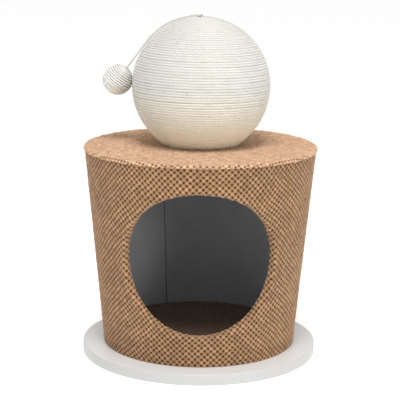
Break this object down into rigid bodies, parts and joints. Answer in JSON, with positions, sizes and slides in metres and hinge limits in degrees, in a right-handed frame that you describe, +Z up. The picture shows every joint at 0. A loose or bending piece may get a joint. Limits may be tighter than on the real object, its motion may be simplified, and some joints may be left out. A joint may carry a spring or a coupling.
{
  "type": "cat scratching ball",
  "caption": "Rope-wound scratching ball bolted on a round plush-covered cat cave with a round doorway, on a flat base board, with a small ball hanging on a cord.",
  "frame": {"origin": "centre of the base board's underside", "axes": "+Z up, the doorway faces -Y, the toy hangs on the -X side"},
  "size_m": [0.4, 0.4, 0.5783],
  "materials": {
    "white_board": "satin white coat on board",
    "raw_board": "bare fibreboard",
    "bent_board": "bare thin board",
    "bobbled_plush": "light brown bobbled plush",
    "brown_plush": "dark brown bobbled plush",
    "grey_felt": "grey felt",
    "core_shell": "plain moulded core",
    "sisal": "bleached twisted sisal rope",
    "cord": "twisted natural cord",
    "steel": "zinc-plated steel"
  },
  "bodies": {
    "root": {"base_board": "white_board", "base_screw_1": "steel", "base_screw_2": "steel", "base_screw_3": "steel", "base_screw_4": "steel", "floor_board": "raw_board", "floor_nail_1": "steel", "floor_nail_2": "steel", "floor_nail_3": "steel", "floor_nail_4": "steel", "floor_nail_5": "steel", "floor_nail_6": "steel", "floor_mat": "brown_plush", "cave_wall": "bent_board", "wall_cover": "bobbled_plush", "wall_lining": "grey_felt", "lid_board": "raw_board", "lid_cover": "bobbled_plush", "ceiling_lining": "grey_felt", "lid_nail_1": "steel", "lid_nail_2": "steel", "lid_nail_3": "steel", "lid_nail_4": "steel", "lid_nail_5": "steel", "lid_nail_6": "steel", "ball_bolt": "steel", "bolt_washer": "steel", "threaded_insert": "steel", "ball_foot_disc": "raw_board", "ball_shell_lower": "core_shell", "ball_shell_upper": "core_shell", "ball_rope": "sisal"},
    "cord_over": {"cord_knot": "cord", "cord_stopper": "cord", "toy_cord_over": "cord"},
    "cord_free": {"toy_cord_free": "cord"},
    "toy": {"toy_core": "core_shell", "toy_rope": "sisal"}
  },
  "joints": [
    {"name": "cord_swivel", "type": "hinge", "parent": "root", "child": "cord_over", "pos_m": [0, 0, 0.57577], "axis": [0, 0, 1], "range_deg": [-180, 180]},
    {"name": "toy_swing", "type": "hinge", "parent": "cord_over", "child": "cord_free", "pos_m": [-0.09429, 0.01325, 0.52717], "axis": [0.1392, 0.9903, 0], "range_deg": [0, 90]},
    {"name": "toy_twist", "type": "hinge", "parent": "cord_free", "child": "toy", "pos_m": [-0.14077, 0.01978, 0.46351], "axis": [0.5876, -0.0826, 0.8049], "range_deg": [-180, 180]}
  ]
}
